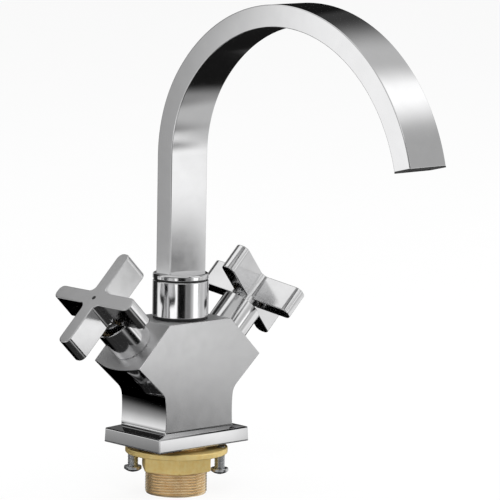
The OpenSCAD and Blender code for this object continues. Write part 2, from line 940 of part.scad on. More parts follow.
module grub_screw(side) {
    color(zinc)
        at_valve(side)
            rotate([0, 0, cross_angle(side)])
                translate([-spindle_d / 2 + spindle_flat, 0, grub_z])
                    rotate([0, -90, 0])
                        difference() {
                            cylinder(h = grub_len, d = grub_d);
                            translate([0, 0, grub_len / 2])
                                hexagon(grub_socket_af, grub_len);
                        }
}

module index_button(side) {
    color(black)
        at_valve(side)
            translate([0, 0, cross_lift + cross_t - button_h])
                cylinder(h = button_h, d = button_d);
}

module left_sleeve() sleeve(-1);
module left_cartridge() cartridge(-1);
module left_cartridge_o_ring() cartridge_o_ring(-1);
module left_seat_seal() seat_seal(-1);
module left_fixed_disc() fixed_disc(-1);
module left_moving_disc() moving_disc(-1);
module left_spindle() spindle(-1);
module left_spindle_o_ring() spindle_o_ring(-1);
module left_spindle_clip() spindle_clip(-1);
module left_cross_handle() cross_handle(-1);
module left_grub_screw() grub_screw(-1);
module left_index_button() index_button(-1);
module right_sleeve() sleeve(1);
module right_cartridge() cartridge(1);
module right_cartridge_o_ring() cartridge_o_ring(1);
module right_seat_seal() seat_seal(1);
module right_fixed_disc() fixed_disc(1);
module right_moving_disc() moving_disc(1);
module right_spindle() spindle(1);
module right_spindle_o_ring() spindle_o_ring(1);
module right_spindle_clip() spindle_clip(1);
module right_cross_handle() cross_handle(1);
module right_grub_screw() grub_screw(1);
module right_index_button() index_button(1);

body_casting();
base_gasket();
mounting_shank();
flange_nut();
left_clamp_screw();
right_clamp_screw();
collar_nut();
collar_seat_ring();
slip_ring();
thrust_washer();
spout_tube();
spout_foot();
spout_o_rings();
outlet_insert();
left_sleeve();
left_cartridge();
left_cartridge_o_ring();
left_seat_seal();
left_fixed_disc();
left_moving_disc();
left_spindle();
left_spindle_o_ring();
left_spindle_clip();
left_cross_handle();
left_grub_screw();
left_index_button();
right_sleeve();
right_cartridge();
right_cartridge_o_ring();
right_seat_seal();
right_fixed_disc();
right_moving_disc();
right_spindle();
right_spindle_o_ring();
right_spindle_clip();
right_cross_handle();
right_grub_screw();
right_index_button();
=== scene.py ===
import math

import bmesh
import bpy
from mathutils import Matrix, Vector


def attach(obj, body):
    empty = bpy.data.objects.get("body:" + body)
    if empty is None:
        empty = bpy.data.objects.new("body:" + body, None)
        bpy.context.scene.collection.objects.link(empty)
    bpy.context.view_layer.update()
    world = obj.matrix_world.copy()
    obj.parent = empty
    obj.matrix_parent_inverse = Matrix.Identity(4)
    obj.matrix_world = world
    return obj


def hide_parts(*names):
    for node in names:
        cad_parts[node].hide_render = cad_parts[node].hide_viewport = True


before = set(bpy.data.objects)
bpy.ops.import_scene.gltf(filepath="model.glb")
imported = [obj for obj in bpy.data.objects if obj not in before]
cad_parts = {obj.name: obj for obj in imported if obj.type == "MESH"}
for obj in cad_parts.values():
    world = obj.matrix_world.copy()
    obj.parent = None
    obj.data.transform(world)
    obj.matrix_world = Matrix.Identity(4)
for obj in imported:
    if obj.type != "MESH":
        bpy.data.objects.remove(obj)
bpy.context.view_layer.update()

# Sizes in millimetres and angles in degrees. Those that the solids have too are the CAD source's.
MM = 0.001
LOOSE, CLOSE, SNUG = 0.1, 0.08, 0.05  # clearances
OVER = 1.0  # how far a cutter runs past the surface that it cuts
SIDES = ((-1, "left"), (1, "right"))

# Base plate. Its rim is drafted: at the top it is that much narrower and shallower on each side.
PLATE_W, PLATE_D, PLATE_RIM, PLATE_BEVEL, PLATE_CORNER = 63.0, 45.0, 7.4, 1.5, 0.6
PLATE_DRAFT = (0.16, 0.42)
PLATE_FOOT = ((0.0, 0.3, 0.3), (0.09, 0.09, 0.5), (0.3, 0.0, PLATE_CORNER))  # height, inset, corner
PLATE_EDGE = ((0.45, 0.0), (0.25, 0.03), (0.1, 0.12), (0.0, 0.3))  # drop below the rim's top, inset
BEVEL_LEVELS, BEVEL_CORNER = (0.12, 0.98), 0.2  # levels in shares of the bevel's height
GASKET_IN, GASKET_OUT, GASKET_T = 17.9, 21.1, 1.6

# Outline of the body from the front, from its core inside the plate up to its top
BODY_CORE = ((22.0, 1.0, 0), (27.0, 4.0, 0))
NECK_FOOT, NECK_SIDE, NECK_HOLLOW = 23.4, 23.62, 0.32
HEEL_R, HEEL_OUT, HEEL_SUNK, HEEL_RUN = 0.9, 0.1, 0.02, 5.0
HOLLOW_LOW, HOLLOW_HIGH, HOLLOW_STEPS = 10.4, 25.15, 12
WAIST_X, WAIST_Z, WAIST_R, WAIST_CORNER = 23.8, 28.6, 9.0, (23.93, 28.72)
SHOULDER_X, SHOULDER_Z, TOP_X, BODY_TOP, BODY_Y, BODY_EASE = 42.7, 45.5, 21.5, 66.7, 18.1, 0.4

# Valve faces, their bosses, pockets and inlets
FACE_X, FACE_Z, FACE_TILT = 32.1, 56.1, 45
BOSS_Y, BOSS_SWELL, BOSS_ROOT, BOSS_STEPS = 17.3, 3.1, 6.0, 48
BEHIND_FACE = ((-60, 60, 40, 0.5), (0, 60, 40, 0.5))  # rows of a slab that ends at the face
POCKET, THREAD_R = 24.0, 8.3
INLET_R, INLET_LEN, INLET_X = 4.5, 12.0, 7.5

# Collar, rings and foot of the spout
SPIGOT_R, SPIGOT_TOP = 12.4, 79.0
STUB_R, STUB_LEN, STUB_BORE, STUB_ROOM = 10.0, 26.0, 6.5, 1.2
COLLAR_R, COLLAR_Z, COLLAR_TOP, COLLAR_BORE, LIP = 14.9, 68.2, 87.4, 11.2, 3.2
SEAT_INSET, SLIP_INSET, SLIP_T = 0.3, 0.6, 0.8
FOOT_Z, FOOT_TOP, FOOT_BORE, FOOT_FLOOR = 88.28, 91.28, 4.2, 1.0
FOOT_REST, FOOT_GAP = 1.08, 0.3  # above the spigot and below the collar's lip

# Spout: a riser, then two bends that meet where the outward direction is that of BEND_MEET
SPOUT_W, SPOUT_T, SPOUT_WALL, SPOUT_Y, SPOUT_SUNK = 25.0, 11.5, 1.3, -1.5, 1.5
SPOUT_CORNER, BORE_CORNER = 0.5, 0.4
# Rows that round the open end: distance back from it, inset, corner radius
SPOUT_END = ((0.3, 0.0, 0.5), (0.08, 0.08, 0.45), (0.0, 0.3, 0.4), (0.0, SPOUT_WALL - 0.1, 0.4))
RISER_LEVELS = (100, 115, 130, 145)
BEND_Z, BEND_1, BEND_2, BEND_MEET, SPOUT_TURN = 153.8, 71.7, 91.8, (0.8, 0.6), 166.0
BEND_STEPS = (36, 128)

# Sleeves and cross handles
SLEEVE_R, SLEEVE_LEN, SLEEVE_WALL, SLEEVE_FLOOR = 11.3, 18.5, 1.0, 1.5
ARM_LEN, ARM_W, CROSS_T, CROSS_LIFT, CROSS_EASE = 30.0, 8.3, 15.6, 22.0, 0.5
TIP_R, ROOT_R, HUB_R, HUB_Z, HUB_BORE = 3.5, 3.4, 7.7, 13.28, 17.0
SPINDLE_R, BUTTON_R, BUTTON_H = 4.0, 1.2, 1.4
GRUB_R, GRUB_Z, GRUB_HOLE = 1.5, 20.4, (3, 12)
RIGHT_TURN = 14.0

# Shank with its thread: the root and then the flank, as shares of half a pitch, and how deep the ends are
SHANK_R, SHANK_BORE, SHANK_LEN, SHANK_SEAT, SHANK_CHAMFER = 16.5, 13.2, 27.7, 7.0, 0.5
PITCH, THREAD, THREAD_TOP, SHANK_PLAIN = 1.5, 0.9, 2.0, 2.4
THREAD_ROOT, THREAD_FLANK, THREAD_RUNOUT = 0.12, 0.6, 0.6

# Flange nut: the flange's inner radii, the hexagon, and the cone that chamfers the hexagon's lower corners
FLANGE_R, FLANGE_H, FLANGE_DROP, FLANGE_BORE, FLANGE_STEP = 27.4, 3.1, 2.6, 10.0, 17.0
NUT_AF, NUT_H, NUT_TURN, NUT_CORNER, NUT_SUNK = 35.0, 9.2, -6.0, 0.5, 0.4
CONE_BORE, CONE_IN, CONE_OUT, CONE_DROP, CONE_RISE = 5.0, 1.0, 1.5, 0.2, 2.3

# Clamp screws: the dome's radius is a share of the head's width
SCREW_R, SCREW_CIRCLE, SCREW_TURN, SCREW_FREE = 2.8, 23.2, -45, 8.3
SCREW_HEAD_R, SCREW_HEAD_H, SCREW_DOME, SCREW_NECK = 4.7, 3.4, 0.75, 1.0
HEAD_BORE, HEAD_CORE, CORE_LIFT, HEAD_STEPS = 0.4, 1.0, 0.02, 8
SCREW_THREAD, SCREW_PITCH, SHAFT_SUNK, SHAFT_PROUD = 0.35, 0.8, 0.4, 0.3
SLOT_HALF, SLOT_W, SLOT_DEPTH = 3, 0.6, 1.6

SPOUT_AXIS = Matrix.Translation((0, SPOUT_Y, 0))


def turn_about(axis, degrees):
    return Matrix.Rotation(math.radians(degrees), 4, axis)


def valve_axis(side, turn=0.0):
    """From the valve's own axis, z outwards from the sloping face, to the faucet. -1 left, +1 right."""
    face = Matrix.Translation((side * FACE_X, 0, FACE_Z))
    return face @ turn_about("Y", side * FACE_TILT) @ turn_about("Z", turn)


# Mesh tools


def rounded(corners, steps=6):
    """A closed outline from (x, y, radius) corners, with an arc at each corner whose radius isn't zero."""
    points = []
    for i, (x, y, r) in enumerate(corners):
        here = Vector((x, y))
        if r <= 0:
            points.append(here)
            continue
        back = (Vector(corners[i - 1][:2]) - here).normalized()
        ahead = (Vector(corners[(i + 1) % len(corners)][:2]) - here).normalized()
        half = back.angle(ahead) / 2
        centre = here + (back + ahead).normalized() * (r / math.sin(half))
        start = here + back * (r / math.tan(half)) - centre
        end = here + ahead * (r / math.tan(half)) - centre
        turn = math.atan2(start.x * end.y - start.y * end.x, start.dot(end))
        for k in range(steps + 1):
            c, s = math.cos(turn * k / steps), math.sin(turn * k / steps)
            points.append(centre + Vector((start.x * c - start.y * s, start.x * s + start.y * c)))
    return points


def rect(w, d, r):
    """A rectangle of half width w and half depth d with rounded corners."""
    return rounded([(-w, -d, r), (w, -d, r), (w, d, r), (-w, d, r)], steps=5)


def circle(r, z, segments):
    turns = [2 * math.pi * k / segments for k in range(segments)]
    return [Vector((r * math.cos(t), r * math.sin(t), z)) for t in turns]


def outward(points):
    """The outward normal at each point of a closed outline that runs anticlockwise."""
    normals = []
    for i, p in enumerate(points):
        a, b = points[i - 1], points[(i + 1) % len(points)]
        one = Vector(((p - a).y, -(p - a).x)).normalized()
        two = Vector(((b - p).y, -(b - p).x)).normalized()
        both = one + two
        normals.append(both / max(both.length_squared / 2, 0.5))
    return normals


def piece(name, bm, place=Matrix(), weighted=True, sharp=32.0):
    """Turns a mesh drawn in millimetres into an object of the scene, with smooth rounds and crisp edges."""
    bmesh.ops.remove_doubles(bm, verts=bm.verts, dist=1e-4)
    bmesh.ops.transform(bm, matrix=Matrix.Scale(MM, 4) @ place, verts=bm.verts)
    bmesh.ops.recalc_face_normals(bm, faces=bm.faces)
    limit = math.radians(sharp)
    for edge in bm.edges:
        edge.smooth = len(edge.link_faces) == 2 and edge.calc_face_angle(0) < limit
    for face in bm.faces:
        face.smooth = True
    mesh = bpy.data.meshes.new(name)
    bm.to_mesh(mesh)
    bm.free()
    obj = bpy.data.objects.new(name, mesh)
    bpy.context.scene.collection.objects.link(obj)
    if weighted:
        flat = obj.modifiers.new("even faces", "WEIGHTED_NORMAL")
        flat.keep_sharp = True
        flat.weight = 80
    return obj


def loop_rows(bm, rows, closed=False):
    """Joins rows of points into a skin, each row a closed ring. Flat caps end it, unless it is closed."""
    made = [[bm.verts.new(p) for p in row] for row in rows]
    for a, b in zip(made, made[1:] + (made[:1] if closed else [])):
        n = len(a)
        for k in range(n):
            bm.faces.new((a[k], a[(k + 1) % n], b[(k + 1) % n], b[k]))
    if not closed:
        bm.faces.new(reversed(made[0]))
        bm.faces.new(made[-1])


def slab(bm, rows, place=Matrix()):
    """A block through rectangles given as (height, half width, half depth, corner radius)."""
    levels = []
    for z, w, d, r in rows:
        levels.append([place @ (p.to_3d() + Vector((0, 0, z))) for p in rect(w, d, r)])
    loop_rows(bm, levels)


def disc(bm, r, z0, z1, segments=64, place=Matrix()):
    """A plain cylinder used as a cutter or a core."""
    loop_rows(bm, [[place @ p for p in circle(r, z, segments)] for z in (z0, z1)])


def turned(bm, outline, segments=180):
    """Turns a closed outline of (radius, height) about z."""
    loop_rows(bm, [circle(r, z, segments) for r, z in outline], closed=True)


def lathe(name, corners, place):
    """A ring-shaped piece from the rounded corners (radius, height, rounding) of its section."""
    bm = bmesh.new()
    turned(bm, rounded(corners))
    return piece(name, bm, place)


def prism(bm, outline, z0, z1, edge=0.0, steps=4):
    """Pulls an outline from z0 to z1, with its two end faces rounded off by edge."""
    rows = [(0.0, z0)]
    if edge > 0:
        turns = [math.pi / 2 * k / steps for k in range(steps + 1)]
        rows = [(edge * (1 - math.sin(t)), z0 + edge * (1 - math.cos(t))) for t in turns]
    rows += [(inset, z0 + z1 - z) for inset, z in reversed(rows)]
    line = list(zip(outline, outward(outline)))
    loop_rows(bm, [[(p - n * inset).to_3d() + Vector((0, 0, z)) for p, n in line] for inset, z in rows])


def ease(bm, size, least=20.0, segments=3):
    """Rounds off every outward edge sharper than the least angle."""
    bmesh.ops.recalc_face_normals(bm, faces=bm.faces)
    joined = [e for e in bm.edges if len(e.link_faces) == 2]
    bmesh.ops.bevel(
        bm,
        geom=[e for e in joined if e.calc_face_angle_signed(0) > math.radians(least)],
        offset=size,
        offset_type="OFFSET",
        segments=segments,
        profile=0.5,
        affect="EDGES",
        clamp_overlap=False,
    )


def carve(bm, other, how):
    """Joins another closed mesh to this one, or cuts it away."""
    bodies = []
    for part in (bm, other):
        bmesh.ops.recalc_face_normals(part, faces=part.faces)
        mesh = bpy.data.meshes.new("part")
        part.to_mesh(mesh)
        part.free()
        obj = bpy.data.objects.new("part", mesh)
        bpy.context.scene.collection.objects.link(obj)
        bodies.append(obj)
    cut = bodies[0].modifiers.new("cut", "BOOLEAN")
    cut.operation = how
    cut.solver = "EXACT"
    cut.use_self = True
    cut.object = bodies[1]
    shaped = bodies[0].evaluated_get(bpy.context.evaluated_depsgraph_get())
    result = bmesh.new()
    result.from_mesh(shaped.data)
    for obj in bodies:
        bpy.data.objects.remove(obj)
    return result


def thread(bm, r_crest, depth, pitch, z0, z1, segments, rows_per_turn=10, lead=1.0):
    """The skin of a screw thread between z0 and z1, running out flat at both ends, which stay open."""
    first, last = -rows_per_turn, math.ceil((z1 - z0) / pitch * rows_per_turn) + 1
    verts = {}
    for i in range(first, last + 1):
        for k in range(segments + 1):
            z = min(max(z0 + pitch * (i / rows_per_turn + k / segments), z0), z1)
            share = abs(((z - z0) / pitch - k / segments) % 1.0 - 0.5) * 2
            hollow = 1 - min(1.0, max(0.0, (share - THREAD_ROOT) / THREAD_FLANK))
            full = max(min(1.0, (z - z0) / lead, (z1 - z) / lead), 0.0)
            r = r_crest - depth * hollow * full - depth * THREAD_RUNOUT * (1 - full)
            turn = 2 * math.pi * k / segments
            verts[i, k] = bm.verts.new((r * math.cos(turn), r * math.sin(turn), z))
    for i in range(first, last):
        for k in range(segments):
            bm.faces.new([verts[i, k], verts[i, k + 1], verts[i + 1, k + 1], verts[i + 1, k]])
    bmesh.ops.remove_doubles(bm, verts=bm.verts, dist=1e-3)


# Materials: each one is a small graph of noise for colour, roughness and relief

NOISE_LOW, NOISE_HIGH = 0.3, 0.7  # between these the noise has nearly all of its values
COLOUR_DETAIL, POLISH_DETAIL, WAVE_DETAIL, GRAIN_DETAIL = 4, 5, 1, 3
POLISH_PATCH, DULL_PATCH = 0.6, 0.5  # the roughness varies in patches smaller than the colour's
# The body's satin faces: how much of the roughness they keep, and where the normal's Y or Z starts and ends
SATIN_FRONT, FRONT_FROM, FRONT_TO = 0.45, 0.9, 0.98
SATIN_SLOPE, SLOPE_FROM, SLOPE_TO = 0.85, 0.3, 0.6
BUFF_EDGE = 0.3  # half the width, in mm, of the change at the buffing's height


class Graph:
    """The node graph of a material or a world, with a short call for each kind of node used here."""

    def __init__(self, owner):
        owner.use_nodes = True
        self.owner = owner
        self.nodes, self.links = owner.node_tree.nodes, owner.node_tree.links

    def put(self, socket, value):
        """Gives a socket a number or a colour, or links another node's output to it."""
        if isinstance(value, bpy.types.NodeSocket):
            self.links.new(value, socket)
        else:
            socket.default_value = value

    def coords(self):
        return self.nodes.new("ShaderNodeTexCoord").outputs["Object"]

    def split(self, vector):
        """The outputs X, Y and Z of a vector."""
        node = self.nodes.new("ShaderNodeSeparateXYZ")
        self.put(node.inputs[0], vector)
        return node.outputs

    def of_vector(self, operation, vector, output):
        node = self.nodes.new("ShaderNodeVectorMath")
        node.operation = operation
        self.put(node.inputs[0], vector)
        return node.outputs[output]

    def maths(self, operation, *values):
        """A Math node of numbers or other nodes' outputs."""
        node = self.nodes.new("ShaderNodeMath")
        node.operation = operation
        for socket, value in zip(node.inputs, values):
            self.put(socket, value)
        return node.outputs[0]

    def noise(self, coords, size_mm, detail, stretch=(1, 1, 1)):
        """Noise whose features are about size_mm across; stretch makes them longer along an axis."""
        mapping = self.nodes.new("ShaderNodeMapping")
        self.put(mapping.inputs["Scale"], tuple(1 / s for s in stretch))
        self.put(mapping.inputs["Vector"], coords)
        texture = self.nodes.new("ShaderNodeTexNoise")
        self.put(texture.inputs["Scale"], 1 / MM / size_mm)
        self.put(texture.inputs["Detail"], detail)
        self.put(texture.inputs["Vector"], mapping.outputs["Vector"])
        return texture.outputs["Fac"]

    def spread(self, value, low, high, start=NOISE_LOW, stop=NOISE_HIGH):
        """Spreads what lies between start and stop over low to high."""
        node = self.nodes.new("ShaderNodeMapRange")
        limits = {"From Min": start, "From Max": stop, "To Min": low, "To Max": high, "Value": value}
        for name, limit in limits.items():
            self.put(node.inputs[name], limit)
        return node.outputs["Result"]

    def tint(self, value, dark, light):
        """Runs from a dark to a light colour with the noise."""
        node = self.nodes.new("ShaderNodeValToRGB")
        for stop, place, colour in zip(node.color_ramp.elements, (NOISE_LOW, NOISE_HIGH), (dark, light)):
            stop.position = place
            stop.color = (*colour, 1)
        self.put(node.inputs["Fac"], value)
        return node.outputs["Color"]

    def relief(self, height, depth_mm, under=None):
        """A bump of this depth, over another one where there is one."""
        node = self.nodes.new("ShaderNodeBump")
        self.put(node.inputs["Distance"], depth_mm * MM)
        self.put(node.inputs["Strength"], 1.0)
        self.put(node.inputs["Height"], height)
        if under is not None:
            self.put(node.inputs["Normal"], under)
        return node.outputs["Normal"]

    def glow(self, strength=1.0):
        """White light of this strength."""
        node = self.nodes.new("ShaderNodeEmission")
        self.put(node.inputs["Color"], (1, 1, 1, 1))
        self.put(node.inputs["Strength"], strength)
        return node.outputs[0]

    def seen(self):
        """1 for camera, glossy and transmission rays, 0 for the others."""
        rays = self.nodes.new("ShaderNodeLightPath").outputs
        straight = self.maths("MAXIMUM", rays["Is Camera Ray"], rays["Is Glossy Ray"])
        return self.maths("MAXIMUM", straight, rays["Is Transmission Ray"])


def surface(name):
    """A new material's graph and the inputs of its shader."""
    graph = Graph(bpy.data.materials.new(name))
    return graph, graph.nodes["Principled BSDF"].inputs


def buffing(graph, coords, height, share):
    """How much of its roughness each face of a buffed casting keeps.

    Below that height, in mm, and on faces that look sideways or down, the surface is buffed to that share.
    Above it, faces that look up keep most of the roughness, and those at the front and back about half.
    """
    normal = coords.node.outputs["Normal"]
    front = graph.split(graph.of_vector("ABSOLUTE", normal, "Vector"))["Y"]
    upright = graph.spread(front, 0, SATIN_FRONT, FRONT_FROM, FRONT_TO)
    upward = graph.spread(graph.split(normal)["Z"], 0, SATIN_SLOPE, SLOPE_FROM, SLOPE_TO)
    flat = graph.maths("MAXIMUM", upright, upward)
    level = graph.split(coords)["Z"]
    above = graph.spread(level, 0, 1, (height - BUFF_EDGE) * MM, (height + BUFF_EDGE) * MM)
    return graph.spread(graph.maths("MULTIPLY", flat, above), share, 1.0, 0, 1)


def metal(name, dark, light, rough, wave, grain, stretch=(1, 1, 1), patch=9.0, buffed=None, bare=1.0):
    """Plated or machined metal: a slow waviness, a fine grain and a little variation in polish.

    patch is the size of the patches of colour, buffed what buffing() takes, and bare how much of the metal
    shows through the dull skin that a casting has.
    """
    graph, shader = surface(name)
    coords = graph.coords()
    graph.put(shader["Metallic"], bare)
    graph.put(shader["Base Color"], graph.tint(graph.noise(coords, patch, COLOUR_DETAIL), dark, light))
    polish = graph.spread(graph.noise(coords, patch * POLISH_PATCH, POLISH_DETAIL), *rough)
    if buffed:
        polish = graph.maths("MULTIPLY", polish, buffing(graph, coords, *buffed))
    graph.put(shader["Roughness"], polish)
    slow = graph.relief(graph.noise(coords, wave[0], WAVE_DETAIL), wave[1])
    fine = graph.relief(graph.noise(coords, grain[0], GRAIN_DETAIL, stretch), grain[1], under=slow)
    graph.put(shader["Normal"], fine)
    return graph.owner


def plain(name, dark, light, rough, grain=(0.4, 0.004), patch=6.0, sheen=0.5):
    """Rubber, plastic or ceramic: a mottled colour with a fine moulded grain."""
    graph, shader = surface(name)
    coords = graph.coords()
    graph.put(shader["Specular IOR Level"], sheen)
    graph.put(shader["Base Color"], graph.tint(graph.noise(coords, patch, COLOUR_DETAIL), dark, light))
    dull = graph.noise(coords, patch * DULL_PATCH, COLOUR_DETAIL)
    graph.put(shader["Roughness"], graph.spread(dull, *rough))
    graph.put(shader["Normal"], graph.relief(graph.noise(coords, grain[0], GRAIN_DETAIL), grain[1]))
    return graph.owner


def grey(value):
    return (value, value, value)


# Dark and light colour, least and most roughness, then waviness and grain as (size, depth) in mm
METALS = {
    "body_chrome": ((0.70, 0.70, 0.705), (0.74, 0.74, 0.745), (0.46, 0.52), (16.0, 0.002), (0.35, 0.0006)),
    "spout_chrome": ((0.72, 0.72, 0.725), (0.75, 0.75, 0.755), (0.08, 0.11), (24.0, 0.001), (0.35, 0.0002)),
    "collar_chrome": ((0.73, 0.73, 0.735), (0.76, 0.76, 0.765), (0.11, 0.14), (14.0, 0.001), (0.3, 0.0001)),
    "sleeve_chrome": ((0.73, 0.73, 0.735), (0.76, 0.76, 0.765), (0.11, 0.14), (12.0, 0.001), (0.3, 0.0002)),
    "handle_chrome": ((0.71, 0.71, 0.715), (0.75, 0.75, 0.755), (0.15, 0.18), (10.0, 0.001), (0.35, 0.0004)),
    "nut_brass": ((0.95, 0.70, 0.26), (1.0, 0.80, 0.36), (0.40, 0.52), (6.0, 0.01), (0.45, 0.02)),
    "shank_brass": ((0.94, 0.72, 0.44), (0.99, 0.82, 0.55), (0.20, 0.26), (8.0, 0.004), (0.3, 0.001)),
    "zinc_steel": ((0.52, 0.53, 0.54), (0.66, 0.67, 0.68), (0.18, 0.30), (4.0, 0.003), (0.25, 0.002)),
    "valve_brass": ((0.40, 0.30, 0.17), (0.52, 0.41, 0.25), (0.30, 0.42), (8.0, 0.003), (0.3, 0.002)),
}
METAL_OPTIONS = {
    "body_chrome": {"buffed": (9.4, 0.1)},
    "nut_brass": {"patch": 2.5, "bare": 0.7},
    "shank_brass": {"stretch": (6, 6, 0.5), "patch": 3.0, "bare": 0.75},
    "zinc_steel": {"patch": 1.5},
    "valve_brass": {"patch": 3.0},
}
# Dark and light colour, least and most roughness, then what differs from the usual grain, patch and sheen
PLASTICS = {
    "disc_ceramic": (grey(0.74), (0.84, 0.83, 0.80), (0.12, 0.20), {"grain": (0.2, 0.001)}),
    "nylon": ((0.72, 0.71, 0.66), (0.80, 0.79, 0.75), (0.42, 0.52), {}),
    "outlet_plastic": (grey(0.012), grey(0.03), (0.34, 0.48), {}),
    "index_plastic": (grey(0.008), grey(0.02), (0.30, 0.42), {"patch": 1.0}),
    "slip_plastic": (grey(0.010), grey(0.022), (0.38, 0.5), {"patch": 2.0}),
    # seal_rubber is the black of the real seals; on the seat ring under the collar it is also painted shade,
    # the collar's shadow line
    "seal_rubber": (
        grey(0.012), grey(0.028), (0.55, 0.72), {"grain": (0.5, 0.01), "patch": 3.0, "sheen": 0.35},
    ),
}
MATERIALS = {name: metal(name, *values, **METAL_OPTIONS.get(name, {})) for name, values in METALS.items()}
for name, (*values, options) in PLASTICS.items():
    MATERIALS[name] = plain(name, *values, **options)


def stand_in(obj, body, node, material):
    """obj is what shows of a CAD node, rides on its body and has its finish."""
    obj.data.materials.clear()
    obj.data.materials.append(MATERIALS[material])
    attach(obj, body)
    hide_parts(node)


# Body: a slab with a waisted outline on a bevelled plate, with two swollen valve bosses


def body_outline():
    """The body's outline from the front. The neck's sides are a little hollow, as polishing leaves them."""
    top = PLATE_RIM + PLATE_BEVEL
    bevel = Vector((PLATE_W / 2 - NECK_FOOT, PLATE_RIM - top)).normalized()
    foot = Vector((NECK_FOOT, top - HEEL_SUNK))
    side = [*BODY_CORE, (foot.x + bevel.x * HEEL_RUN, foot.y + bevel.y * HEEL_RUN, 0)]
    side.append((NECK_FOOT + HEEL_OUT, top, HEEL_R))
    for k in range(HOLLOW_STEPS + 1):
        u = 2 * k / HOLLOW_STEPS - 1
        z = HOLLOW_LOW + (HOLLOW_HIGH - HOLLOW_LOW) * k / HOLLOW_STEPS
        side.append((NECK_SIDE - NECK_HOLLOW * (1 - u * u), z, 0))
    side += [(*WAIST_CORNER, WAIST_R), (SHOULDER_X, SHOULDER_Z, 0), (TOP_X, BODY_TOP, 0)]
    return rounded(side + [(-x, z, r) for x, z, r in reversed(side)], steps=14)


def plate_rows():
    """Levels of the base plate from the deck upwards: height, half width, half depth, corner radius."""
    w, d = PLATE_W / 2, PLATE_D / 2
    draft_w, draft_d = PLATE_DRAFT
    lean_w, lean_d = w - NECK_FOOT, d - BODY_Y
    for z, inset, corner in PLATE_FOOT:
        yield z, w - inset, d - inset, corner
    for drop, inset in PLATE_EDGE:
        yield PLATE_RIM - drop, w - inset - draft_w, d - inset - draft_d, PLATE_CORNER - inset
    for share in BEVEL_LEVELS:
        half_w = w - draft_w * (1 - share) - lean_w * share
        half_d = d - draft_d * (1 - share) - lean_d * share
        yield PLATE_RIM + PLATE_BEVEL * share, half_w, half_d, BEVEL_CORNER


def boss(side):
    """The swollen underside of one valve boss, cut off at the sloping face."""
    swell_r = (BOSS_Y**2 + BOSS_SWELL**2) / (2 * BOSS_SWELL)
    foot = Vector((WAIST_X, WAIST_Z))
    swell = BOSS_SWELL / math.sqrt(2)
    run = Vector((SHOULDER_X + swell, SHOULDER_Z - swell)) - foot
    turn = math.asin(BOSS_Y / swell_r)
    section = [Vector((-BOSS_ROOT, -BOSS_Y))]
    for k in range(BOSS_STEPS + 1):
        t = turn * (2 * k / BOSS_STEPS - 1)
        section.append(Vector((swell_r * (math.cos(t) - 1), swell_r * math.sin(t))))
    section.append(Vector((-BOSS_ROOT, BOSS_Y)))
    place = Matrix.Translation((foot.x, 0, foot.y)) @ Matrix.Rotation(math.atan2(run.x, run.y), 4, "Y")
    ends = (-OVER / 2, run.length + BOSS_ROOT)
    bm = bmesh.new()
    loop_rows(bm, [[place @ Vector((p.x, p.y, z)) for p in section] for z in ends])
    below = bmesh.new()
    slab(below, BEHIND_FACE)
    bmesh.ops.transform(below, matrix=valve_axis(1), verts=below.verts)
    bm = carve(bm, below, "INTERSECT")
    if side < 0:
        bmesh.ops.scale(bm, vec=(-1, 1, 1), verts=bm.verts)
    return bm


def body():
    bm = bmesh.new()
    prism(bm, body_outline(), -BODY_Y, BODY_Y)
    bmesh.ops.transform(bm, matrix=turn_about("X", 90), verts=bm.verts)
    for side, _ in SIDES:
        bm = carve(bm, boss(side), "UNION")
    plate = bmesh.new()
    slab(plate, plate_rows())
    bm = carve(bm, plate, "UNION")
    bmesh.ops.dissolve_limit(bm, angle_limit=math.radians(0.1), verts=bm.verts, edges=bm.edges)
    ease(bm, BODY_EASE)
    spigot = bmesh.new()
    disc(spigot, SPIGOT_R, BODY_TOP - OVER, SPIGOT_TOP, 96, SPOUT_AXIS)
    bm = carve(bm, spigot, "UNION")
    ways = bmesh.new()
    for side, _ in SIDES:
        inlet = Matrix.Translation((side * INLET_X, 0, 0))
        disc(ways, THREAD_R + LOOSE, -POCKET, OVER, place=valve_axis(side))
        disc(ways, INLET_R, SHANK_SEAT - OVER / 2, SHANK_SEAT + INLET_LEN, 48, inlet)
    disc(ways, STUB_R + CLOSE, SPIGOT_TOP - STUB_LEN - STUB_ROOM, SPIGOT_TOP + OVER, 96, SPOUT_AXIS)
    disc(ways, SHANK_R + SNUG, -OVER, SHANK_SEAT, 128)
    bm = carve(bm, ways, "DIFFERENCE")
    groove = bmesh.new()
    inner, outer = GASKET_IN - LOOSE, GASKET_OUT + LOOSE
    turned(groove, [(inner, -OVER), (outer, -OVER), (outer, GASKET_T), (inner, GASKET_T)], 128)
    bm = carve(bm, groove, "DIFFERENCE")
    return piece("body", bm, sharp=29.0)


stand_in(body(), "root", "body_casting", "body_chrome")

# Collar nut, rings and the round foot of the spout

spigot_hole, neck = SPIGOT_R + LOOSE, COLLAR_BORE - CLOSE
lip_low, stub_low = COLLAR_TOP - LIP, SPIGOT_TOP - STUB_LEN
seat_r, slip_r, slip_top = COLLAR_R - SEAT_INSET, COLLAR_R - SLIP_INSET, COLLAR_TOP + SLIP_T

collar = lathe(
    "collar",
    [
        (spigot_hole, COLLAR_Z, 0.2),
        (COLLAR_R, COLLAR_Z, 0.35),
        (COLLAR_R, COLLAR_TOP, 0.6),
        (COLLAR_BORE, COLLAR_TOP, 0.2),
        (COLLAR_BORE, lip_low, 0.2),
        (spigot_hole, lip_low, 0.1),
    ],
    SPOUT_AXIS,
)
stand_in(collar, "root", "collar_nut", "collar_chrome")

# The seat ring fills the gap between the body's top and the collar. Its near-black is painted shade: the
# shadow line under the collar
seat_ring = lathe(
    "seat_ring",
    [
        (spigot_hole, BODY_TOP, 0),
        (seat_r, BODY_TOP, 0.2),
        (seat_r, COLLAR_Z, 0.3),
        (spigot_hole, COLLAR_Z, 0),
    ],
    SPOUT_AXIS,
)
stand_in(seat_ring, "root", "collar_seat_ring", "seal_rubber")

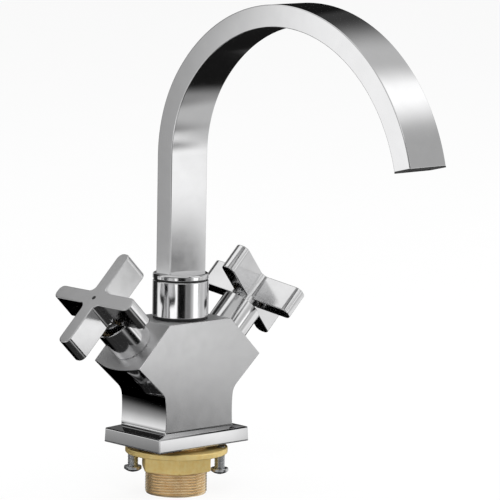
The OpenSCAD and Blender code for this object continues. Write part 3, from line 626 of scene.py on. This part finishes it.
slip = lathe(
    "slip_band",
    [
        (COLLAR_BORE, COLLAR_TOP, 0),
        (slip_r, COLLAR_TOP, 0.15),
        (slip_r, slip_top, 0.15),
        (COLLAR_BORE, slip_top, 0),
    ],
    SPOUT_AXIS,
)
stand_in(slip, "root", "slip_ring", "slip_plastic")

foot = lathe(
    "spout_flange",
    [
        (STUB_BORE, stub_low, 0.2),
        (STUB_R, stub_low, 0.3),
        (STUB_R, SPIGOT_TOP + FOOT_REST, 0),
        (SPIGOT_R - CLOSE, SPIGOT_TOP + FOOT_REST, 0.2),
        (SPIGOT_R - CLOSE, lip_low - FOOT_GAP, 0.2),
        (neck, lip_low - FOOT_GAP, 0),
        (neck, FOOT_Z, 0),
        (COLLAR_R, FOOT_Z, 0.3),
        (COLLAR_R, FOOT_TOP, 1.2),
        (FOOT_BORE, FOOT_TOP, 0),
        (FOOT_BORE, FOOT_Z - FOOT_FLOOR, 0),
        (STUB_BORE, FOOT_Z - FOOT_FLOOR, 0),
    ],
    SPOUT_AXIS,
)
stand_in(foot, "spout", "spout_foot", "collar_chrome")

# Spout: a flat tube that leaves the foot, bends over in two arcs and ends open


def spout_stations():
    """Points of the spout's centre line with the outward direction there, both in (y, z)."""
    for z in (FOOT_TOP - SPOUT_SUNK, *RISER_LEVELS):
        yield Vector((SPOUT_Y, z)), Vector((1, 0))
    one = Vector((SPOUT_Y - BEND_1, BEND_Z))
    two = one + (BEND_1 - BEND_2) * Vector(BEND_MEET)
    meet = math.degrees(math.atan2(BEND_MEET[1], BEND_MEET[0]))
    few, many = BEND_STEPS
    bends = [(one, BEND_1, meet * k / few) for k in range(few)]
    bends += [(two, BEND_2, meet + (SPOUT_TURN - meet) * k / many) for k in range(many + 1)]
    for centre, r, angle in bends:
        out = Vector((math.cos(math.radians(angle)), math.sin(math.radians(angle))))
        yield centre + r * out, out


def spout_skin():
    def ring(centre, out, inset, corner):
        points = rect(SPOUT_T / 2 - inset, SPOUT_W / 2 - inset, corner)
        return [Vector((p.y, centre.x + out.x * p.x, centre.y + out.y * p.x)) for p in points]

    stations = list(spout_stations())
    end, out = stations[-1]
    along = Vector((-out.y, out.x))
    rows = [ring(*station, 0, SPOUT_CORNER) for station in stations[:-1]]
    rows += [ring(end - along * back, out, inset, corner) for back, inset, corner in SPOUT_END]
    rows += [ring(*station, SPOUT_WALL, BORE_CORNER) for station in reversed(stations)]
    bm = bmesh.new()
    loop_rows(bm, rows, closed=True)
    return piece("spout", bm)


stand_in(spout_skin(), "spout", "spout_tube", "spout_chrome")

# Bonnet sleeves and cross handles


def sleeve(side, name):
    bore = SLEEVE_R - SLEEVE_WALL
    return lathe(
        name,
        [
            (THREAD_R + LOOSE, 0, 0),
            (SLEEVE_R, 0, 0.5),
            (SLEEVE_R, SLEEVE_LEN, 0.4),
            (bore, SLEEVE_LEN, 0.3),
            (bore, SLEEVE_FLOOR, 0.5),
            (THREAD_R + LOOSE, SLEEVE_FLOOR, 0),
        ],
        valve_axis(side),
    )


def cross(side, name):
    h, n, top = ARM_W / 2, ARM_LEN, CROSS_LIFT + CROSS_T
    corners = []
    for quarter in range(4):
        turn = Matrix.Rotation(math.radians(90 * quarter), 2)
        for x, y, r in ((n, -h, TIP_R), (n, h, TIP_R), (h, h, ROOT_R)):
            p = turn @ Vector((x, y))
            corners.append((p.x, p.y, r))
    bm = bmesh.new()
    prism(bm, rounded(corners, steps=10), CROSS_LIFT, top, CROSS_EASE)
    hub = bmesh.new()
    disc(hub, HUB_R, HUB_Z, CROSS_LIFT + OVER, 128)
    bm = carve(bm, hub, "UNION")
    bore = bmesh.new()
    disc(bore, SPINDLE_R + CLOSE, HUB_Z - OVER, HUB_Z + HUB_BORE)
    disc(bore, BUTTON_R, top - BUTTON_H, top + OVER)
    grub = Matrix.Translation((0, 0, GRUB_Z)) @ turn_about("Y", -90)
    disc(bore, GRUB_R + LOOSE, *GRUB_HOLE, 32, grub)
    bm = carve(bm, bore, "DIFFERENCE")
    return piece(name, bm, valve_axis(side, RIGHT_TURN if side > 0 else 0))


for side, word in SIDES:
    stand_in(sleeve(side, f"{word}_bonnet"), "root", f"{word}_sleeve", "sleeve_chrome")
    stand_in(cross(side, f"{word}_cross"), f"{word}_handle", f"{word}_cross_handle", "handle_chrome")

# Shank with its thread, flange nut and clamp screws


def shank():
    bm = bmesh.new()
    thread(bm, SHANK_R, THREAD, PITCH, -SHANK_LEN, THREAD_TOP, 144)
    ends = {v for e in bm.edges if len(e.link_faces) == 1 for v in e.verts}
    low = {v for v in ends if v.co.z < -SHANK_LEN + SHANK_CHAMFER}

    def join(ring, other):
        for k in range(len(ring)):
            bm.faces.new((ring[k - 1], ring[k], other[k], other[k - 1]))

    def extend(ring, steps):
        """Goes on from an open end through rings of (radius, height), and returns the last one."""
        ring = sorted(ring, key=lambda v: math.atan2(v.co.y, v.co.x))
        for r, z in steps:
            new = []
            for v in ring:
                flat = v.co.xy.normalized() * r
                new.append(bm.verts.new((flat.x, flat.y, z)))
            join(ring, new)
            ring = new
        return ring

    mouth = [(SHANK_BORE + SHANK_CHAMFER, -SHANK_LEN), (SHANK_BORE, -SHANK_LEN + SHANK_CHAMFER)]
    seat = [(SHANK_R, SHANK_PLAIN), (SHANK_R, SHANK_SEAT), (SHANK_BORE, SHANK_SEAT)]
    join(extend(low, mouth), extend(ends - low, seat))
    return piece("shank", bm, sharp=50.0)


stand_in(shank(), "root", "mounting_shank", "shank_brass")


def screw_place(side):
    turn, r = math.radians(SCREW_TURN), side * SCREW_CIRCLE
    return Matrix.Translation((r * math.cos(turn), r * math.sin(turn), 0))


def flange_nut():
    top = -FLANGE_DROP
    low = top - FLANGE_H
    foot = low - NUT_H
    flange = [
        (FLANGE_BORE, low - OVER, 0),
        (FLANGE_STEP, low - OVER, 0),
        (FLANGE_STEP, low, 0),
        (FLANGE_R, low, 0.5),
        (FLANGE_R, top, 0.6),
        (FLANGE_BORE, top, 0),
    ]
    bm = bmesh.new()
    turned(bm, rounded(flange, steps=5), 200)
    across = NUT_AF / 2 / math.cos(math.radians(30))
    turns = [math.radians(60 * k + NUT_TURN) for k in range(6)]
    corners = [(across * math.cos(t), across * math.sin(t), NUT_CORNER) for t in turns]
    hexagon = bmesh.new()
    prism(hexagon, rounded(corners, steps=4), foot, low + NUT_SUNK)
    cone = [
        (CONE_BORE, foot - CONE_DROP),
        (across - CONE_IN, foot - CONE_DROP),
        (across + CONE_OUT, foot + CONE_RISE),
        (across + CONE_OUT, low + OVER),
        (CONE_BORE, low + OVER),
    ]
    chamfer = bmesh.new()
    turned(chamfer, cone, 128)
    bm = carve(bm, carve(hexagon, chamfer, "INTERSECT"), "UNION")
    holes = bmesh.new()
    disc(holes, SHANK_R + LOOSE, foot - 2 * OVER, top + 2 * OVER, 144)
    for side, _ in SIDES:
        disc(holes, SCREW_R + CLOSE, low - 2 * OVER, top + 2 * OVER, 48, screw_place(side))
    bm = carve(bm, holes, "DIFFERENCE")
    return piece("nut", bm)


stand_in(flange_nut(), "nut", "flange_nut", "nut_brass")


def clamp_screw(side, name):
    head_top = -FLANGE_DROP - FLANGE_H - SCREW_FREE
    head_low = head_top - SCREW_HEAD_H
    neck_r, neck_top = SCREW_R - SCREW_THREAD, head_top + SCREW_NECK
    dome = 2 * SCREW_HEAD_R * SCREW_DOME
    outline = [(HEAD_BORE, neck_top, 0), (HEAD_BORE, head_low, 0)]
    for k in range(1, HEAD_STEPS + 1):
        r = SCREW_HEAD_R * k / HEAD_STEPS
        outline.append((r, head_low + dome - math.sqrt(dome * dome - r * r), 0))
    outline += [(SCREW_HEAD_R, head_top, 0.4), (neck_r, head_top, 0.1), (neck_r, neck_top, 0)]
    bm = bmesh.new()
    turned(bm, rounded(outline, steps=4), 72)
    core = bmesh.new()
    disc(core, HEAD_CORE, head_low + CORE_LIFT, head_top + 2 * OVER, 24)
    bm = carve(bm, core, "UNION")
    slots = bmesh.new()
    levels = [(z, SLOT_HALF, SLOT_W, 0) for z in (head_low - OVER, head_low + SLOT_DEPTH)]
    for turn in (0, 90):
        slab(slots, levels, turn_about("Z", turn))
    bm = carve(bm, slots, "DIFFERENCE")
    low, high = head_top - SHAFT_SUNK, -FLANGE_DROP + SHAFT_PROUD
    shaft = bmesh.new()
    thread(shaft, SCREW_R, SCREW_THREAD, SCREW_PITCH, low, high, 48, rows_per_turn=8, lead=0.3)
    open_edges = [e for e in shaft.edges if len(e.link_faces) == 1]
    for lower in (True, False):
        rim = [e for e in open_edges if (e.verts[0].co.z < (low + high) / 2) == lower]
        bmesh.ops.contextual_create(shaft, geom=rim)
    mesh = bpy.data.meshes.new("shaft")
    shaft.to_mesh(mesh)
    shaft.free()
    bm.from_mesh(mesh)
    return piece(name, bm, screw_place(side), sharp=45.0)


for side, word in SIDES:
    stand_in(clamp_screw(side, f"{word}_screw"), f"{word}_screw", f"{word}_clamp_screw", "zinc_steel")

# Everything that stays as the CAD made it takes the finish of its slot

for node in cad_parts.values():
    for place in node.material_slots:
        if place.material and place.material.name.split(".")[0] in MATERIALS:
            place.material = MATERIALS[place.material.name.split(".")[0]]

# Studio: a pale floor, soft lamps, and a tent of pale and dark cloth that the chrome reflects

FLOOR_Z, FLOOR_HALF, FLOOR_PATCH = -SHANK_LEN, 9000, 40
FLOOR_DARK, FLOOR_LIGHT, FLOOR_ROUGH = 0.93, 0.95, 0.9
FLOOR_WHITE = 0.88  # share of plain white where the floor is seen, so that the shadow stays faint
WORLD_LIGHT = 0.55  # strength of the white world as a light; where it is seen its strength is 1
TENT_R, TENT_CENTRE = 500, (0, -0.05, 0.10)
LAMP_AIM = (0, 0, 0.1)
LAMPS = {  # place in metres, size in metres, power in watts
    "key": ((-1.2, -1.4, 1.9), 1.4, 26),
    "fill": ((1.6, -1.0, 1.2), 1.6, 14),
    "top": ((0.1, 0.4, 2.2), 1.8, 16),
}
# Cloth of the tent, in the order in which it is hung: (azimuth, elevation, half width, half height,
# softness across, softness up, brightness). Angles in degrees as seen from the tent's centre,
# azimuth 0 towards +X and 90 towards +Y.
TENT_BASE = 0.60
TENT = {
    "table": (0, -90, 180, 46, 1, 12, 0.03),
    "zenith": (0, 90, 180, 15, 1, 8, 0.95),
    "left dim": (-155, -2, 45, 22, 30, 16, 0.10),
    "left card": (-170, -12, 22, 5, 8, 5, 1.4),
    "camera": (-130, -12, 17, 6, 6, 5, 0.0),
    "front grey": (-100, -12, 12, 6, 14, 5, 0.20),
    "front high": (-88, 38, 20, 22, 20, 16, 1.1),
    "front gap": (-97, 18, 15, 14, 5, 5, 0.0),
    "sky": (-42, 45, 12, 8, 20, 14, 1.4),
    "front mid": (-54, 22, 8, 10, 8, 10, 0.48),
    "bevel light": (-30, 40, 7, 7, 5, 2, 1.3),
    "bevel end": (-30, 25.5, 7, 7, 5, 2.5, 0.0),
    "right high": (32, 46, 24, 18, 40, 12, 0.05),
    "riser pale": (-42, 0, 9, 7, 6, 10, 0.98),
    "right light": (2, -4, 26, 22, 10, 6, 0.72),
    "right stripe": (-4, -24, 24, 3, 8, 3, 1.0),
    "crescent": (14, -41, 32, 10, 24, 6, 0.01),
    "crescent end": (36, -26, 12, 14, 8, 6, 0.01),
    "front low": (-50, -47, 26, 12, 16, 8, 0.02),
    "right wall": (44, -4, 10, 50, 5, 10, 0.01),
    "front white": (-62, -8, 14, 8, 8, 5, 1.5),
    "front pale": (-48, -10, 5, 10, 5, 5, 1.2),
    "front dark": (-58, -37, 17, 18.5, 10, 5, 0.0),
    "riser notch": (-48, -9.2, 4, 2.7, 1.6, 6, 0.2),
    "back light": (60, 5, 8, 20, 6, 12, 0.12),
    "back grey": (106, 9, 28, 29, 16, 4, 0.02),
    "back window": (112, 33.5, 11, 4.5, 6, 3.0, 0.45),
    "back high": (112, 60, 26, 22, 16, 5, 1.1),
    "back patch": (100, 45, 12, 7, 6, 4, 0.12),
    "back low": (108, -38, 50, 19, 10, 8, 0.0),
    "neck light": (130, -11.5, 12, 6, 8, 9, 1.15),
    "side": (128, 1, 7, 10, 4, 3, 0.42),
    "back bright": (149, 4, 14, 12, 14, 8, 1.15),
}


def studio_floor():
    bm = bmesh.new()
    corners = ((-1, -1), (1, -1), (1, 1), (-1, 1))
    bm.faces.new([bm.verts.new((x * FLOOR_HALF, y * FLOOR_HALF, FLOOR_Z)) for x, y in corners])
    floor = piece("floor", bm, weighted=False)
    graph, shader = surface("floor_card")
    mottle = graph.noise(graph.coords(), FLOOR_PATCH, COLOUR_DETAIL)
    graph.put(shader["Base Color"], graph.tint(mottle, grey(FLOOR_DARK), grey(FLOOR_LIGHT)))
    graph.put(shader["Roughness"], FLOOR_ROUGH)
    graph.put(shader["Specular IOR Level"], 0.0)
    mix = graph.nodes.new("ShaderNodeMixShader")
    graph.put(mix.inputs[0], graph.maths("MULTIPLY", graph.seen(), FLOOR_WHITE))
    graph.put(mix.inputs[1], graph.nodes["Principled BSDF"].outputs[0])
    graph.put(mix.inputs[2], graph.glow())
    graph.put(graph.nodes["Material Output"].inputs["Surface"], mix.outputs[0])
    floor.data.materials.append(graph.owner)
    floor.visible_glossy = False


def studio_world():
    world = bpy.data.worlds.new("studio")
    bpy.context.scene.world = world
    graph = Graph(world)
    back = graph.nodes["Background"].inputs
    graph.put(back["Color"], (1, 1, 1, 1))
    graph.put(back["Strength"], graph.spread(graph.seen(), WORLD_LIGHT, 1.0, 0, 1))


def studio_lamps():
    for name, (place, size, power) in LAMPS.items():
        data = bpy.data.lights.new(name, "AREA")
        data.shape = "SQUARE"
        data.size = size
        data.energy = power
        obj = bpy.data.objects.new(name, data)
        obj.location = place
        obj.rotation_euler = (Vector(LAMP_AIM) - Vector(place)).to_track_quat("-Z", "Y").to_euler()
        obj.visible_glossy = False
        bpy.context.scene.collection.objects.link(obj)


def tent_cloth():
    """White light whose strength is the brightness of the cloth that hangs in each direction."""
    graph = Graph(bpy.data.materials.new("tent_cloth"))
    graph.nodes.clear()
    coords = graph.coords()
    place = graph.split(coords)
    azimuth = graph.maths("ARCTAN2", place["Y"], place["X"])
    height = graph.maths("DIVIDE", place["Z"], graph.of_vector("LENGTH", coords, "Value"))
    elevation = graph.maths("ARCSINE", height)

    def falloff(offset, half, soft):
        near, far = math.radians(half - soft / 2), math.radians(half + soft / 2)
        edge = graph.spread(graph.maths("ABSOLUTE", offset), 0, 1, far, near)
        edge.node.interpolation_type = "SMOOTHSTEP"
        return edge

    total = TENT_BASE
    for az, el, wide, tall, soft_az, soft_el, value in TENT.values():
        across = graph.maths("SUBTRACT", azimuth, math.radians(az))
        across = graph.maths("WRAP", across, math.pi, -math.pi)
        up = graph.maths("SUBTRACT", elevation, math.radians(el))
        mask = graph.maths("MULTIPLY", falloff(across, wide, soft_az), falloff(up, tall, soft_el))
        total = graph.maths("MULTIPLY_ADD", mask, graph.maths("SUBTRACT", value, total), total)
    out = graph.nodes.new("ShaderNodeOutputMaterial")
    graph.put(out.inputs["Surface"], graph.glow(total))
    graph.owner.cycles.emission_sampling = "NONE"
    return graph.owner


def studio_tent():
    """A sphere that shows only in reflections."""
    bm = bmesh.new()
    bmesh.ops.create_uvsphere(bm, u_segments=96, v_segments=48, radius=TENT_R)
    tent = piece("tent", bm, weighted=False)
    tent.location = TENT_CENTRE
    tent.data.materials.append(tent_cloth())
    tent.visible_camera = False
    tent.visible_diffuse = False
    tent.visible_transmission = False
    tent.visible_shadow = False
    tent.visible_volume_scatter = False


studio_floor()
studio_world()
studio_tent()
studio_lamps()

# Camera at the photograph's angle, from a fit to edges and corners seen in it

CAMERA_TURN, CAMERA_RISE, CAMERA_ROLL = -42.483, 8.094, 0.986
CAMERA_AIM, CAMERA_RIGHT, CAMERA_UP, CAMERA_BACK = (0, 0, 110), 37.476, -6.408, 1928.04
FOCAL_PIXELS, PHOTO_PIXELS, SENSOR = 3639.19, 500, 36


def set_camera():
    azimuth, elevation, roll = map(math.radians, (CAMERA_TURN, CAMERA_RISE, CAMERA_ROLL))
    level = math.cos(elevation)
    back = Vector((math.sin(azimuth) * level, -math.cos(azimuth) * level, math.sin(elevation)))
    right = Vector((math.cos(azimuth), math.sin(azimuth), 0))
    up = back.cross(right)
    place = Vector(CAMERA_AIM) + right * CAMERA_RIGHT + up * CAMERA_UP + back * CAMERA_BACK
    c, s = math.cos(roll), math.sin(roll)
    turn = Matrix((right * c + up * s, up * c - right * s, back)).transposed().to_4x4()
    data = bpy.data.cameras.new("camera")
    data.sensor_width = SENSOR
    data.lens = FOCAL_PIXELS * SENSOR / PHOTO_PIXELS
    data.clip_end = 60
    obj = bpy.data.objects.new("camera", data)
    obj.matrix_world = Matrix.Translation(place * MM) @ turn
    bpy.context.scene.collection.objects.link(obj)
    bpy.context.scene.camera = obj


set_camera()
bpy.context.scene.view_settings.view_transform = "Standard"
